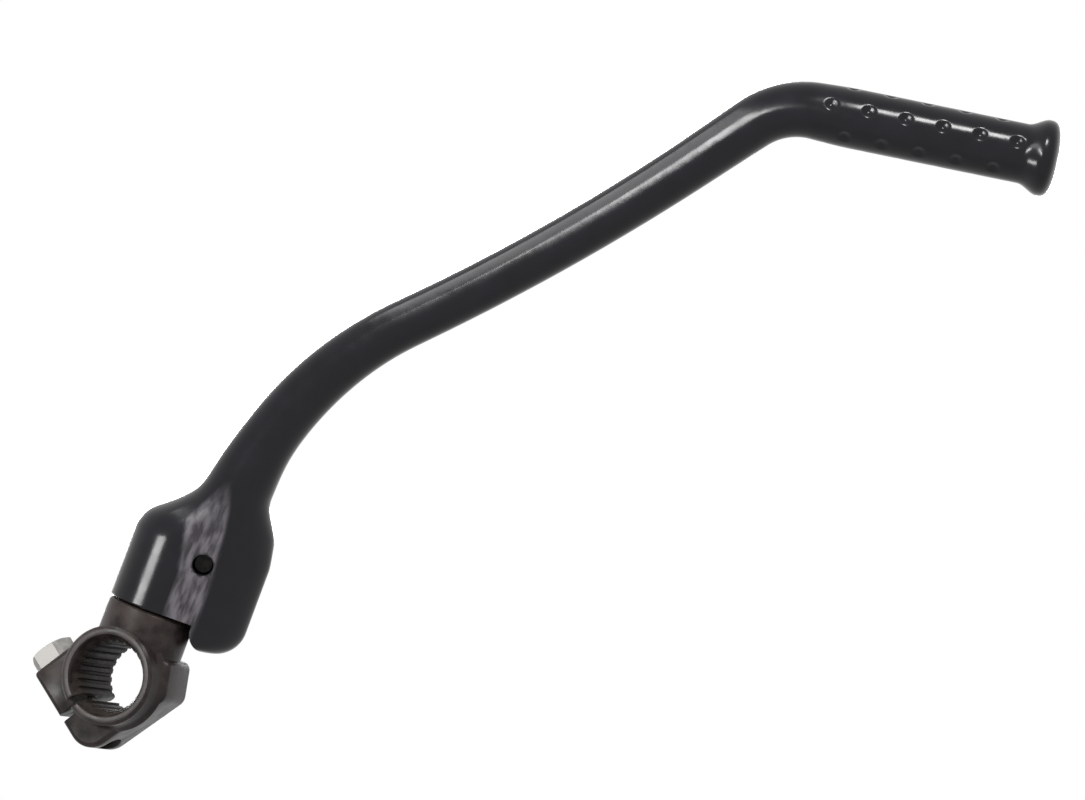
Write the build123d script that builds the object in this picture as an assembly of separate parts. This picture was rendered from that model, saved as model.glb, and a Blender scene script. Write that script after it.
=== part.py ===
from build123d import *
import math
import os

os.makedirs("parts", exist_ok=True)

# Frame, in mm. Origin: where the fold axis meets the axis of the kick-shaft bore.
# +Y runs along the bore towards the engine, +Z is the axis the lever folds about (lever upwards),
# +X points to the side the stowed lever leans to.

# Kick-shaft bore and its serrations
bore_front_y = -12.0
bore_back_y = 9.8
bore_edge = 0.3
mouth_r = 9.95
mouth_end_y = -8.6
serration_tip_r = 8.3
serration_root_r = 8.85
serration_count = 27
serration_tip_share = 0.46
serration_root_share = 0.26
lead_in = 1.2

# Collar round the mouth of the bore
collar_r = 12.0
collar_blend = 1.6
collar_edge = 0.7

# Clamp body, drawn along the slit: distance out from the bore, distance across the slit, rounding
slit_angle = 236.0
slit_width = 2.0
body_front_y = -6.0
body_back_y = 5.5
body_edge = 1.2
lug_end = 17.7
lug_seat = 13.3
lug_rounding = 6.0
seat_rounding = 1.0
flank = 10.9
body_corners = [
    (lug_end, -lug_seat, seat_rounding), (lug_end, flank, lug_rounding), (-7.4, 11.7, 3.0),
    (-13.6, 5.2, 2.0), (-6.0, -6.0, 3.0), (5.0, -lug_seat, 2.0),
]

# Round hub behind the body, tapering to its back face
hub_r = 11.4
hub_back_r = 10.2

# Pinch bolt, M6, across the slit
bolt_r = 3.0
bolt_length = 20.0
bolt_head_flats = 10.0
bolt_head_height = 4.0
bolt_head_bevel = 0.45
bolt_axis_out = 12.7
bolt_y = 0.0
bolt_clearance = 0.15
thread_clearance = 0.03
bolt_tip_edge = 0.6

# Neck and pivot post
neck_r = 10.6
neck_back_y = 9.2
neck_bottom_z = 7.5
neck_top_z = 17.75
neck_edge = 0.6
post_r = 7.0
post_top_z = 36.0
post_edge = 0.8

# Fold of the lever: the stowed arm is turned this far from X towards the engine
stowed_turn = 24.0
fold_range = 114.0
fold_play = 1.0

# Running fits of the fold joint
post_clearance = 0.05
fold_gap = 0.5
post_end_gap = 0.5

# Dowel pin that keeps the arm on the post
pin_r = 2.5
pin_length = 11.0
pin_edge = 0.4
pin_offset = 7.7
pin_z = 32.8
pin_groove_clearance = 0.1
pin_hole_clearance = 0.01

# Click stop between neck and barrel
ball_r = 1.5
ball_circle_r = 8.6
ball_angle = 180.0
ball_clearance = 0.05
ball_ride_gap = 0.02
ball_travel = 0.4
pocket_bottom_z = 9.0
spring_wire_r = 0.3
spring_mean_r = 1.1
spring_pitch = 1.5
spring_seat_gap = 0.02

# Knuckle of the arm, in the arm's own frame: x along the lean, y across the forging, z along the fold axis
barrel_r = 10.7
barrel_bottom_z = neck_top_z + fold_gap
cheek_bottom_z = 12.4
cheek_clear_r = 12.0
cheek_corner_r = 7.5
cheek_inner_x = 10.2
cheek_inner_r = 5.0
knuckle_right = 22.9
knuckle_top_z = 36.0
facet_start_x = 3.5
facet_end = (10.4, -9.1)
cheek_front = (17.6, -5.0)
cheek_crest_y = 1.4
cheek_back = (17.6, 8.3)

# Shoulder above the knuckle: height, left edge, right edge, half thickness, share of roundness
shoulder = [
    (38.3, -10.1, 22.6, 10.55, 0.06),
    (40.6, -8.7, 22.2, 10.25, 0.2),
    (43.5, -5.3, 21.5, 9.7, 0.42),
    (46.8, -1.8, 19.7, 9.0, 0.66),
    (50.5, 0.6, 17.8, 8.3, 0.87),
]

# Centre line of the shank: where its legs meet (x, z), and how far each bend runs out along both legs
shank_foot = (9.2, 50.5)
lower_bend = (13.2, 82.8)
gentle_bend = (62.4, 133.7)
elbow = (98.6, 183.9)
lower_run = 28.4
gentle_run = 39.0
elbow_run = 8.4
elbow_to_peg = 18.3
peg_rise = 8.9

# Foot peg and its flared end, measured along the peg's axis
peg_r = 7.2
flare_start = 40.2
flange_at = 45.2
flange_r = 9.15
flange_round = 2.5
flange_fall = 1.45
peg_length = 48.7

# Taper of the shank: share of its length, radius
shank_stations = 32
shank_taper = [
    (0.0225, 7.9), (0.08, 6.95), (0.14, 6.62), (0.27, 6.06), (0.37, 5.88), (0.58, 5.86),
    (0.72, 5.97), (0.855, 6.28),
    (0.93, 6.7), (1.0, peg_r),
]

# Grip dimples: rows round the peg, every second row set on by half a pitch
dimple_rows = 6
dimple_row_angle = 24.0
dimple_first = -6.75
dimple_pitch = 9.02
dimple_count = 6
dimple_r = 1.6
dimple_depth = 0.6

# How far cutting shapes run past the faces that they cut
cut_over = 1.0


def prism_y(sketch, y_low, y_high):
    """Extrude a sketch drawn in X and Z between two Y levels."""
    plane = Plane(origin=(0, y_high, 0), x_dir=(1, 0, 0), z_dir=(0, -1, 0))
    return extrude(plane * sketch, amount=y_high - y_low)


def prism_z(sketch, z_low, z_high):
    """Extrude a sketch drawn in X and Y between two Z levels."""
    return extrude(Plane.XY.offset(z_low) * sketch, amount=z_high - z_low)


def turned_y(profile):
    """Turn a closed outline of (radius, y) points about the bore axis."""
    outline = make_face(Polyline(*[(radius, y, 0) for radius, y in profile], close=True))
    return revolve(outline, Axis.Y)


def polar(radius, angle):
    """Point at a radius and an angle in degrees."""
    return (radius * math.cos(math.radians(angle)), radius * math.sin(math.radians(angle)))


def rounded_outline(corners):
    """Closed outline with its own rounding at each corner, turned to the slit's direction."""
    points = [(out, across) for out, across, rounding in corners]
    roundings = [rounding for out, across, rounding in corners]
    return Rot(0, 0, slit_angle) * make_face(FilletPolyline(*points, radius=roundings, close=True))


def serration_outline():
    """Closed outline of the serrated bore, one trapezium tooth per pitch."""
    pitch = 360.0 / serration_count
    points = []
    for tooth in range(serration_count):
        centre = tooth * pitch
        points.append(polar(serration_tip_r, centre - serration_tip_share * pitch / 2))
        points.append(polar(serration_tip_r, centre + serration_tip_share * pitch / 2))
        root = centre + pitch / 2
        points.append(polar(serration_root_r, root - serration_root_share * pitch / 2))
        points.append(polar(serration_root_r, root + serration_root_share * pitch / 2))
    edges = []
    count = len(points)
    for index in range(count):
        start = points[index]
        end = points[(index + 1) % count]
        radius = math.hypot(*start)
        if index % 2 == 0:
            middle_angle = math.degrees(math.atan2(start[1] + end[1], start[0] + end[0]))
            edges.append(ThreePointArc(start, polar(radius, middle_angle), end))
        else:
            edges.append(Line(start, end))
    return make_face(edges)


def bolt_frame():
    """Place things on the pinch bolt's axis, z pointing from the slit out through the bolt's head."""
    out = polar(1.0, slit_angle)
    across = (out[1], -out[0])
    origin = (out[0] * bolt_axis_out, bolt_y, out[1] * bolt_axis_out)
    return Plane(origin=origin, x_dir=(out[0], 0, out[1]), z_dir=(across[0], 0, across[1]))


def make_clamp():
    """Clamp body with its lugs, round hub and collar, before the bore is cut."""
    body = prism_y(rounded_outline(body_corners), body_front_y, body_back_y)
    front = body.faces().sort_by(Axis.Y)[0]
    body = fillet(front.edges(), body_edge)
    hub = turned_y([
        (0, body_front_y), (hub_r, body_front_y), (hub_r, body_back_y),
        (hub_back_r, bore_back_y), (0, bore_back_y),
    ])
    root_y = body_front_y + 0.12 * collar_blend
    collar = turned_y([
        (0, bore_front_y), (collar_r - collar_edge, bore_front_y), (collar_r, bore_front_y + collar_edge),
        (collar_r, body_front_y - collar_blend),
        (collar_r + 0.3 * collar_blend, body_front_y - 0.3 * collar_blend),
        (collar_r + 0.7 * collar_blend, root_y), (0, root_y),
    ])
    return body + hub + collar


def make_post():
    """Neck on top of the hub and the post that the lever turns on."""
    trim = Pos(0, neck_back_y - neck_r) * Rectangle(2 * neck_r, 2 * neck_r)
    neck = prism_z(Circle(neck_r) & trim, neck_bottom_z, neck_top_z)
    neck = chamfer(neck.faces().sort_by(Axis.Z)[-1].edges(), neck_edge)
    post = prism_z(Circle(post_r), neck_bottom_z, post_top_z)
    post = chamfer(post.edges().sort_by(Axis.Z)[-1], post_edge)
    return neck + post


def bore_cut():
    """Everything the kick shaft takes out of the boss: serrations, tapered mouth and lead-in."""
    cut = prism_y(serration_outline(), bore_front_y - cut_over, bore_back_y + cut_over)
    mouth = turned_y([
        (0, bore_front_y), (mouth_r, bore_front_y), (serration_tip_r, mouth_end_y), (0, mouth_end_y),
    ])
    back_r = serration_root_r + bore_edge
    back = turned_y([
        (0, bore_back_y), (back_r, bore_back_y),
        (back_r - lead_in, bore_back_y - lead_in), (0, bore_back_y - lead_in),
    ])
    return cut + mouth + back


def groove_cut():
    """Part-circle groove in the post, whose ends stop the pin at both limits of the fold."""
    core_r = pin_offset - pin_r - pin_groove_clearance
    first = stowed_turn + fold_play
    last = stowed_turn - fold_range - fold_play
    reach = 2 * post_r
    middle = (first + last) / 2
    sector = Polygon((0, 0), polar(reach, last), polar(reach, middle), polar(reach, first), align=None)
    groove = (Circle(post_r + cut_over) - Circle(core_r)) & sector
    for angle in (first, last):
        chord = Pos(core_r + post_r / 2, 0) * Rectangle(post_r, 2 * (post_r + cut_over))
        groove = groove + Rot(0, 0, angle) * chord
    half = pin_r + pin_groove_clearance
    return prism_z(groove, pin_z - half, pin_z + half)


def make_boss():
    """Split clamp hub with its neck and pivot post."""
    boss = make_clamp() + make_post()
    boss = boss - bore_cut()
    slit = Rot(0, 0, slit_angle) * Pos(lug_end, 0) * Rectangle(2 * lug_end, slit_width)
    boss = boss - prism_y(slit, bore_front_y - cut_over, bore_back_y + cut_over)
    frame = bolt_frame()
    boss = boss - extrude(frame * Circle(bolt_r + bolt_clearance), amount=lug_seat + cut_over)
    boss = boss - extrude(frame * Circle(bolt_r + thread_clearance), amount=-(flank + cut_over))
    boss = boss - groove_cut()
    pocket = Pos(*polar(ball_circle_r, ball_angle)) * Circle(ball_r + ball_clearance)
    boss = boss - prism_z(pocket, pocket_bottom_z, neck_top_z + cut_over)
    return boss.solid()


def knuckle_edges():
    """Outline of the knuckle seen along the fold axis: barrel arc, flat and rounded cheek."""
    back = (0.0, barrel_r)
    facet_start = (facet_start_x, -math.sqrt(barrel_r ** 2 - facet_start_x ** 2))
    arc = ThreePointArc(back, (-barrel_r, 0), facet_start)
    flat = Line(facet_start, facet_end)
    crest = (knuckle_right, cheek_crest_y)
    cheek = Spline(facet_end, cheek_front, crest, cheek_back, back, tangents=[(0.85, 0.53), (-1, 0.02)])
    return [arc, flat, cheek]


def knuckle_points():
    """Points on the knuckle outline in the order the upper sections use."""
    arc, flat, cheek = knuckle_edges()
    points = [arc @ (step / 11) for step in range(11)]
    points += [flat @ (step / 2) for step in range(2)]
    points += [cheek @ (step / 11) for step in range(11)]
    return [(point.X, point.Y) for point in points]


def knuckle_face(level):
    """Outline of the knuckle as a face at a level on the fold axis."""
    return (Plane.XY.offset(level) * make_face(knuckle_edges())).face()


def round_points():
    """Unit circle points that match the knuckle's points one to one."""
    middle = (knuckle_right - barrel_r) / 2
    half = (knuckle_right + barrel_r) / 2
    angles = []
    for along, across in knuckle_points():
        angles.append(math.atan2(across / barrel_r, (along - middle) / half))
    return [(math.cos(angle), math.sin(angle)) for angle in angles]


def shoulder_face(height, left, right, thick, roundness):
    """Section of the shoulder; both edges of the flat fade as the section turns round."""
    middle = (knuckle_right - barrel_r) / 2
    half = (knuckle_right + barrel_r) / 2
    points = []
    for (along, across), (unit_along, unit_across) in zip(knuckle_points(), round_points()):
        x = (1 - roundness) * (along - middle) / half + roundness * unit_along
        y = (1 - roundness) * across / barrel_r + roundness * unit_across
        points.append(Vector((left + right) / 2 + x * (right - left) / 2, y * thick, height))
    count = len(points)

    def heading(index, step):
        near = points[(index + step) % count]
        far = points[(index + 2 * step) % count]
        one_side = (near * 4 - points[index] * 3 - far) * step
        both_sides = points[(index + 1) % count] - points[index - 1]
        return one_side.normalized() * (1 - roundness) + both_sides.normalized() * roundness

    back = (points[1] - points[-1]).normalized()
    arc = Spline(*points[0:12], tangents=[back, heading(11, -1)])
    flat = Spline(*points[11:14], tangents=[heading(11, 1), heading(13, -1)])
    cheek = Spline(*points[13:24], points[0], tangents=[heading(13, 1), back])
    return make_face([arc, flat, cheek])


def round_face(centre, lean, radius):
    """Round section of the shank in three arcs that follow on from the shoulder's three edges."""
    ring = round_points()
    count = len(ring)

    def at(index):
        along, across = ring[index % count]
        reach = radius * along
        return (centre.X + reach * math.cos(lean), radius * across, centre.Z - reach * math.sin(lean))

    arc = ThreePointArc(at(0), at(6), at(11))
    flat = ThreePointArc(at(11), at(12), at(13))
    cheek = ThreePointArc(at(13), at(18), at(count))
    return make_face([arc, flat, cheek])


def shank_path():
    """Centre line of the shank up to the peg: straight legs with a tangent arc at each bend."""
    along, up = polar(elbow_to_peg, peg_rise)
    corners = [shank_foot, lower_bend, gentle_bend, elbow, (elbow[0] + along, elbow[1] + up)]
    radii = []
    runs = (lower_run, gentle_run, elbow_run)
    for before, corner, after, run in zip(corners, corners[1:], corners[2:], runs):
        lean_in = math.atan2(corner[0] - before[0], corner[1] - before[1])
        lean_out = math.atan2(after[0] - corner[0], after[1] - corner[1])
        radii.append(run / math.tan(abs(lean_out - lean_in) / 2))
    return FilletPolyline(*[(x, 0, z) for x, z in corners], radius=radii)


def shank_radius(share):
    """Radius of the shank at a share of its length, in even tapers between the named places."""
    for (start, start_r), (end, end_r) in zip(shank_taper, shank_taper[1:]):
        if share <= end:
            return start_r + (end_r - start_r) * (share - start) / (end - start)
    return peg_r


def make_shank():
    """Shoulder and shank in one loft from the knuckle's outline to the start of the peg."""
    sections = [knuckle_face(knuckle_top_z)]
    for height, left, right, thick, roundness in shoulder:
        sections.append(shoulder_face(height, left, right, thick, roundness))
    path = shank_path()
    first = shank_taper[0][0]
    for station in range(shank_stations):
        share = first + (1 - first) * station / (shank_stations - 1)
        centre = path.position_at(share * path.length, PositionMode.LENGTH)
        heading = path.tangent_at(share * path.length, PositionMode.LENGTH)
        sections.append(round_face(centre, math.atan2(heading.X, heading.Z), shank_radius(share)))
    return loft(sections)


def peg_frame():
    """Place things on the peg: x along its axis, z away from the first row of dimples."""
    along, up = polar(1.0, peg_rise)
    away = (up * math.sin(math.radians(dimple_row_angle)), math.cos(math.radians(dimple_row_angle)),
            -along * math.sin(math.radians(dimple_row_angle)))
    return Plane(origin=shank_path() @ 1, x_dir=(along, 0, up), z_dir=away)


def make_peg():
    """Foot peg with its flared end, turned about its own axis."""
    frame = peg_frame()
    crest = (flange_at, flange_r)
    grip = Line((0, peg_r), (flare_start, peg_r))
    flare = Spline(grip @ 1, crest, tangents=[(1, 0), (1, 0)])
    shoulder_point = (flange_at + flange_round, flange_r - flange_fall)
    dome = Spline(crest, shoulder_point, (peg_length, 0), tangents=[(1, 0), (0, -1)])
    outline = make_face([grip, flare, dome, Line((peg_length, 0), (0, 0)), Line((0, 0), (0, peg_r))])
    return revolve(frame * outline, Axis(frame.origin, frame.x_dir))


def dimple_balls():
    """Balls that press the grip dimples into the peg."""
    frame = peg_frame()
    length = shank_path().length
    ball = (dimple_r ** 2 + dimple_depth ** 2) / (2 * dimple_depth)
    balls = []
    for row in range(dimple_rows):
        odd = row % 2
        down, away = polar(1.0, 270 - row * 360 / dimple_rows)
        for index in range(dimple_count - odd):
            along = dimple_first + (index + odd / 2) * dimple_pitch
            out = shank_radius(1 + along / length) - dimple_depth + ball
            balls.append(frame * Pos(along, out * down, out * away) * Sphere(ball))
    return balls


def corner_cut(x, z, to_x, to_z, radius):
    """Sketch in X and Z of what rounding a corner takes away, run on to the given far sides."""
    centre_x = x + math.copysign(radius, x - to_x)
    block = Rectangle(abs(centre_x - to_x), z + radius - to_z)
    block = Pos((centre_x + to_x) / 2, (z + radius + to_z) / 2) * block
    return block - Pos(centre_x, z + radius) * Circle(radius)


def make_knuckle():
    """Lower end of the arm: barrel and cheek, with room for the neck below the barrel."""
    knuckle = extrude(knuckle_face(cheek_bottom_z), amount=knuckle_top_z - cheek_bottom_z)
    low = cheek_bottom_z - cut_over
    left = -barrel_r - cut_over
    outer = corner_cut(knuckle_right, cheek_bottom_z, knuckle_right + cut_over, low, cheek_corner_r)
    inner = corner_cut(cheek_inner_x, cheek_bottom_z, left, low, cheek_inner_r)
    step = barrel_bottom_z - cheek_bottom_z - cheek_inner_r
    above = Rectangle(cheek_inner_x - left, step)
    above = Pos((left + cheek_inner_x) / 2, barrel_bottom_z - step / 2) * above
    knuckle = knuckle - prism_y(outer + inner + above, -2 * barrel_r, 2 * barrel_r)
    return knuckle - prism_z(Circle(cheek_clear_r), low, barrel_bottom_z)


def make_arm():
    """Knuckle, shank and foot peg as one forging, turned to the stowed position."""
    arm = make_knuckle() + make_shank() + make_peg()
    arm = arm - dimple_balls()
    post_hole = Circle(post_r + post_clearance)
    arm = arm - prism_z(post_hole, cheek_bottom_z - cut_over, post_top_z + post_end_gap)
    across = Plane(origin=(pin_offset, 0, pin_z), x_dir=(1, 0, 0), z_dir=(0, 1, 0))
    arm = arm - extrude(across * Circle(pin_r + pin_hole_clearance), amount=2 * barrel_r, both=True)
    seated_z = barrel_bottom_z - ball_ride_gap - ball_r + ball_travel
    for angle in (ball_angle - stowed_turn, ball_angle - stowed_turn + fold_range):
        arm = arm - Pos(*polar(ball_circle_r, angle), seated_z) * Sphere(ball_r + ball_clearance)
    return (Rot(0, 0, stowed_turn) * arm).solid()


def make_pin():
    """Dowel pin, lying across the barrel beside the post."""
    plane = Plane(origin=(pin_offset, 0, pin_z), x_dir=(1, 0, 0), z_dir=(0, 1, 0))
    pin = extrude(plane * Circle(pin_r), amount=pin_length / 2, both=True)
    pin = chamfer(pin.edges().filter_by(GeomType.CIRCLE), pin_edge)
    return (Rot(0, 0, stowed_turn) * pin).solid()


def make_bolt():
    """Hexagon bolt seated on the upper lug."""
    seat = bolt_frame().offset(lug_seat)
    along = Axis(seat.origin, seat.z_dir)
    hexagon = RegularPolygon(bolt_head_flats / 2, 6, major_radius=False)
    head = extrude(seat * hexagon, amount=bolt_head_height)
    corner_r = bolt_head_flats / math.sqrt(3)
    cap = seat * Pos(0, 0, bolt_head_height / 2) * Cylinder(corner_r, bolt_head_height)
    top = cap.edges().sort_by(along)[-1]
    cap = chamfer(top, length=bolt_head_bevel, length2=bolt_head_bevel * math.sqrt(3))
    shank = extrude(seat * Circle(bolt_r), amount=-bolt_length)
    shank = chamfer(shank.edges().sort_by(along)[0], bolt_tip_edge)
    return ((head & cap) + shank).solid()


def make_ball():
    """Steel ball of the click stop at the height it rides on."""
    x, y = polar(ball_circle_r, ball_angle)
    return (Pos(x, y, barrel_bottom_z - ball_ride_gap - ball_r) * Sphere(ball_r)).solid()


def make_spring():
    """Coil spring under the ball."""
    x, y = polar(ball_circle_r, ball_angle)
    ball_z = barrel_bottom_z - ball_ride_gap - ball_r
    drop = math.sqrt((ball_r + spring_wire_r + spring_seat_gap) ** 2 - spring_mean_r ** 2)
    low = pocket_bottom_z + spring_wire_r + spring_seat_gap
    high = ball_z - drop
    path = Helix(pitch=spring_pitch, height=high - low, radius=spring_mean_r)
    wire = Plane(origin=path @ 0, z_dir=path % 0) * Circle(spring_wire_r)
    coil = sweep(wire, path=path, is_frenet=True)
    return (Pos(x, y, low) * coil).solid()


nodes = {
    "shaft_boss": make_boss(),
    "kick_arm": make_arm(),
    "retaining_pin": make_pin(),
    "pinch_bolt": make_bolt(),
    "detent_ball": make_ball(),
    "detent_spring": make_spring(),
}

for name, solid in nodes.items():
    solid.label = name
    export_step(solid, os.path.join("parts", name + ".step"))
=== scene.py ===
"""Folding kick start lever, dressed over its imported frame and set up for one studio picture."""

import logging
import math
from dataclasses import dataclass, field
from enum import Enum
from typing import Any, Callable, Iterator, Sequence

import bmesh
import bpy
import numpy as np
from mathutils import Matrix, Vector

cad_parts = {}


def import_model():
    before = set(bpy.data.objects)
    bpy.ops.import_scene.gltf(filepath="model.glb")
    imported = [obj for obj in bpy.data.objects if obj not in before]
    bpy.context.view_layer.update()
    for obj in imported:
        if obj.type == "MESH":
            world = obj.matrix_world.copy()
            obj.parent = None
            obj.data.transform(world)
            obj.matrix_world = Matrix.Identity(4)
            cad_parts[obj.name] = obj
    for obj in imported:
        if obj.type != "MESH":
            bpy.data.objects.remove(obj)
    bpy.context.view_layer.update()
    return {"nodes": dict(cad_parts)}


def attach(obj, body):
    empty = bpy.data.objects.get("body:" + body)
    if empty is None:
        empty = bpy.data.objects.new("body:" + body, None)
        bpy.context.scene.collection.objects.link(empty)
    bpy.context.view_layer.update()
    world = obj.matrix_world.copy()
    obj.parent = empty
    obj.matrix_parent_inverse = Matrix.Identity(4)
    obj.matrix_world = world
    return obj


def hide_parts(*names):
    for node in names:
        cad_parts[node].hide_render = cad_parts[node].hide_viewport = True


MM = 0.001
LOG = logging.getLogger("kick_start_lever")
Socket = bpy.types.NodeSocket
Rgba = tuple[float, float, float, float]

# Distances within which points become one: in the frame's loose triangles, after a cut, at a closed end
FRAME_WELD_MM = 0.0005
CUT_WELD_MM = 0.002
END_WELD_MM = 0.02
# Turns past which shading stays sharp: on the frame's meshes, and once hard edges are rounded
FRAME_SHARP_DEG = 30.0
ROUNDED_SHARP_DEG = 40.0
# Octaves of noise: in the broad mottle, in fine grain and streaks, and in smooth orange peel
MOTTLE_OCTAVES = 4.0
GRAIN_OCTAVES = 3.0
PEEL_OCTAVES = 1.0
# Stretch of the noise's range that the two tones of a finish, and of the wheel's streaks, are spread over
MOTTLE_SPAN = (0.35, 0.65)
STREAK_SPAN = (0.36, 0.64)


class Body(Enum):
    """The parts of the lever that move as one."""

    BOSS = "boss"
    ARM = "arm"
    BALL = "ball"


def linear(hex_colour: str) -> Rgba:
    """Turn a written sRGB colour into the linear values a shader takes.

    Args:
        hex_colour: colour as "#rrggbb".

    Returns:
        Linear red, green, blue and a full alpha.
    """
    parts = [int(hex_colour[i:i + 2], 16) / 255 for i in (1, 3, 5)]
    red, green, blue = (p / 12.92 if p <= 0.04045 else ((p + 0.055) / 1.055) ** 2.4 for p in parts)
    return red, green, blue, 1.0


def add_node(tree: bpy.types.NodeTree, kind: str, settings: dict[str, Any] | None = None,
             inputs: dict[str | int, Any] | None = None) -> bpy.types.Node:
    """Add one shader node with its settings, constants and incoming links.

    Args:
        tree: node tree that takes the node.
        kind: node type, such as "ShaderNodeBump".
        settings: properties of the node itself.
        inputs: by input name or number, a constant or the output socket to link from.

    Returns:
        The new node.
    """
    node = tree.nodes.new(kind)
    for name, value in (settings or {}).items():
        setattr(node, name, value)
    for name, value in (inputs or {}).items():
        if isinstance(value, Socket):
            tree.links.new(value, node.inputs[name])
        else:
            node.inputs[name].default_value = value
    return node


def set_ramp(node: bpy.types.Node, stops: Sequence[tuple[float, Rgba]]) -> None:
    """Give a colour ramp its stops.

    Args:
        node: the colour ramp node.
        stops: position and colour of each stop, lowest first.
    """
    elements = node.color_ramp.elements
    while len(elements) < len(stops):
        elements.new(0.5)
    for element, (position, colour) in zip(elements, stops):
        element.position = position
        element.color = colour


def grey(level: float) -> Rgba:
    """Return a neutral colour of the given level."""
    return level, level, level, 1.0


def empty_tree(owner: bpy.types.Material | bpy.types.World) -> bpy.types.NodeTree:
    """Give a material or a world a node tree with nothing in it, and return the tree."""
    owner.use_nodes = True
    owner.node_tree.nodes.clear()
    return owner.node_tree


@dataclass(frozen=True)
class GroundFlatWithSheen:
    """A flat dressed with a coarse wheel before painting: duller, with streaks along Z, and paler in a
    painted sheen that stands in for the light the flat catches.

    An attribute of the piece says where it lies.
    """

    attribute: str
    dark: str
    light: str
    roughness: float
    streak_mm: float
    streak_run: float
    depth_mm: float

    def over(self, tree: bpy.types.NodeTree, place: Socket, colour: Socket, gloss: Socket,
             normal: Socket) -> tuple[Socket, Socket, Socket]:
        """Lay the flat over a finish.

        Args:
            tree: node tree that takes the nodes.
            place: object coordinates in metres.
            colour: colour of the finish.
            gloss: roughness of the finish.
            normal: normal of the finish.

        Returns:
            Colour, roughness and normal of the two together.
        """
        marked = add_node(tree, "ShaderNodeAttribute", {"attribute_name": self.attribute}).outputs["Fac"]
        drawn_out = add_node(tree, "ShaderNodeMapping", inputs={
            "Vector": place, "Scale": (1.0, 1.0, 1.0 / self.streak_run)})
        streaks = Finish.noise(tree, drawn_out.outputs["Vector"], self.streak_mm, GRAIN_OCTAVES)
        # The streak tones are pale: a painted sheen laid over the enamel's colour
        tone = add_node(tree, "ShaderNodeValToRGB", inputs={"Fac": streaks})
        set_ramp(tone, [(STREAK_SPAN[0], linear(self.dark)), (STREAK_SPAN[1], linear(self.light))])
        # A Mix node numbers its sockets by type: 2 and 3 take values, 6 and 7 colours, output 2 is colour
        mixed = add_node(tree, "ShaderNodeMix", {"data_type": "RGBA"},
                         {0: marked, 6: colour, 7: tone.outputs["Color"]})
        dulled = add_node(tree, "ShaderNodeMix", {"data_type": "FLOAT"},
                          {0: marked, 2: gloss, 3: self.roughness})
        height = add_node(tree, "ShaderNodeMath", {"operation": "MULTIPLY"}, {0: marked, 1: streaks})
        bump = add_node(tree, "ShaderNodeBump", inputs={
            "Height": height.outputs[0], "Strength": 1.0, "Distance": self.depth_mm * MM, "Normal": normal})
        return mixed.outputs[2], dulled.outputs[0], bump.outputs["Normal"]


@dataclass(frozen=True)
class Finish:
    """A surface finish: colour and gloss, the mottle in both, and the grain under them.

    Sizes are the real ones in millimetres, so that the pattern keeps its scale on the part.
    """

    name: str
    dark: str
    light: str
    metallic: float
    roughness: tuple[float, float]
    mottle_mm: float
    grain_mm: float
    grain_depth_mm: float
    peel_mm: float = 3.0
    peel_depth_mm: float = 0.0
    specular: float = 0.5
    flat: GroundFlatWithSheen | None = None

    def material(self) -> bpy.types.Material:
        """Build the finish as a node material.

        Returns:
            The material, made once and found by name after that.
        """
        made = bpy.data.materials.get(self.name)
        if made:
            return made
        made = bpy.data.materials.new(self.name)
        tree = empty_tree(made)
        place = add_node(tree, "ShaderNodeTexCoord").outputs["Object"]
        mottle = self.noise(tree, place, self.mottle_mm, MOTTLE_OCTAVES)
        colour = add_node(tree, "ShaderNodeValToRGB", inputs={"Fac": mottle})
        set_ramp(colour, [(MOTTLE_SPAN[0], linear(self.dark)), (MOTTLE_SPAN[1], linear(self.light))])
        gloss = add_node(tree, "ShaderNodeMapRange", inputs={
            "Value": mottle, "From Min": MOTTLE_SPAN[0], "From Max": MOTTLE_SPAN[1],
            "To Min": self.roughness[0], "To Max": self.roughness[1]})
        grain = add_node(tree, "ShaderNodeBump", inputs={
            "Height": self.noise(tree, place, self.grain_mm, GRAIN_OCTAVES), "Strength": 1.0,
            "Distance": self.grain_depth_mm * MM})
        relief = add_node(tree, "ShaderNodeBump", inputs={
            "Height": self.noise(tree, place, self.peel_mm, PEEL_OCTAVES), "Strength": 1.0,
            "Distance": self.peel_depth_mm * MM, "Normal": grain.outputs["Normal"]})
        layers = colour.outputs["Color"], gloss.outputs["Result"], relief.outputs["Normal"]
        if self.flat:
            layers = self.flat.over(tree, place, *layers)
        shader = add_node(tree, "ShaderNodeBsdfPrincipled", inputs={
            "Base Color": layers[0], "Metallic": self.metallic, "Roughness": layers[1],
            "Specular IOR Level": self.specular, "Normal": layers[2]})
        add_node(tree, "ShaderNodeOutputMaterial", inputs={"Surface": shader.outputs["BSDF"]})
        return made

    @staticmethod
    def noise(tree: bpy.types.NodeTree, place: Socket, size_mm: float, octaves: float) -> Socket:
        """Add a noise whose lumps have a real size.

        Args:
            tree: node tree that takes the noise.
            place: object coordinates in metres.
            size_mm: width of one lump.
            octaves: how many finer octaves it carries.

        Returns:
            The noise value socket.
        """
        node = add_node(tree, "ShaderNodeTexNoise", inputs={
            "Vector": place, "Scale": 1.0 / (size_mm * MM), "Detail": octaves})
        return node.outputs["Fac"]


# The flat on the knuckle, ground before it was painted: the marks of the wheel, with a pale grey tone that
# is painted sheen standing in for the light the flat catches.
# The streaks are drawn wider than the marks a wheel leaves, so that they show in the picture.
KNUCKLE_FLAT_SHEEN = GroundFlatWithSheen(
    attribute="ground_flat_sheen", dark="#322f33", light="#625e63", roughness=0.36, streak_mm=1.3, streak_run=4.0,
    depth_mm=0.06)
# Black stove enamel sprayed over a forging: deep and glossy, with an orange peel that breaks its highlights
ARM_ENAMEL = Finish(
    "black stove enamel, sprayed on forged steel", dark="#0a0a0e", light="#0f0f15", metallic=0.0,
    roughness=(0.16, 0.22), mottle_mm=6.0, grain_mm=0.9, grain_depth_mm=0.006, peel_mm=3.5,
    peel_depth_mm=0.03, specular=0.25, flat=KNUCKLE_FLAT_SHEEN)
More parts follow.
